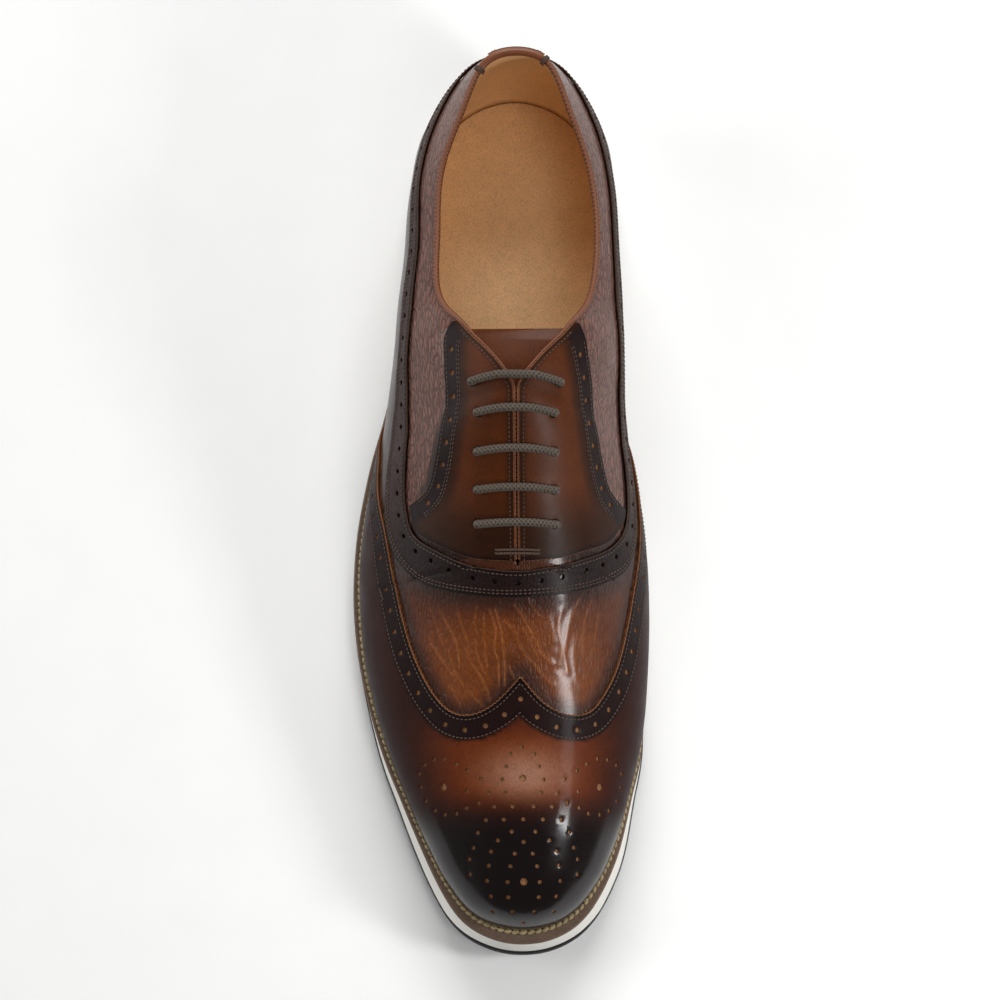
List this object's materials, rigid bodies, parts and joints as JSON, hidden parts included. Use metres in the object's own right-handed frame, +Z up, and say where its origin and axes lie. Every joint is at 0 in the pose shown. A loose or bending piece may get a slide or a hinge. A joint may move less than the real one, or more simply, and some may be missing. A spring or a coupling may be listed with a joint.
{
  "type": "brogue shoe",
  "caption": "Wing tip brogue oxford for the right foot with a hollow leather upper, laced facings, a stitched welt and a light wedge sole.",
  "frame": {"origin": "middle of the footprint, on the plane that the sole stands on", "axes": "+Z up, +Y from toe to heel, +X towards the inner side of the foot"},
  "size_m": [0.1042, 0.3112, 0.1012],
  "materials": {
    "black_rubber": "matt black rubber",
    "white_foam": "smooth off-white foamed rubber",
    "welt_leather": "taupe leather strip with chunky beige stitches",
    "insole_leather": "tan leather sock",
    "grained_leather": "grained calf, tan brown, burnished darker to the edges",
    "tongue_leather": "smooth brown calf",
    "cap_leather": "polished dark brown calf, almost black at the toe",
    "band_leather": "dark purple brown calf",
    "facing_leather": "smooth red brown calf",
    "binding_leather": "thin tan leather piping",
    "lace_cord": "waxed round cotton cord"
  },
  "bodies": {
    "root": {"outsole": "black_rubber", "midsole": "white_foam", "welt": "welt_leather", "insole": "insole_leather", "upper": "grained_leather", "tongue": "tongue_leather", "wing_cap": "cap_leather", "vamp_band": "band_leather", "facing_lateral": "facing_leather", "facing_medial": "facing_leather", "backstay": "band_leather", "topline_binding": "binding_leather", "lace_bar_1": "lace_cord", "lace_bar_2": "lace_cord", "lace_bar_3": "lace_cord", "lace_bar_4": "lace_cord", "lace_bar_5": "lace_cord"}
  },
  "joints": []
}
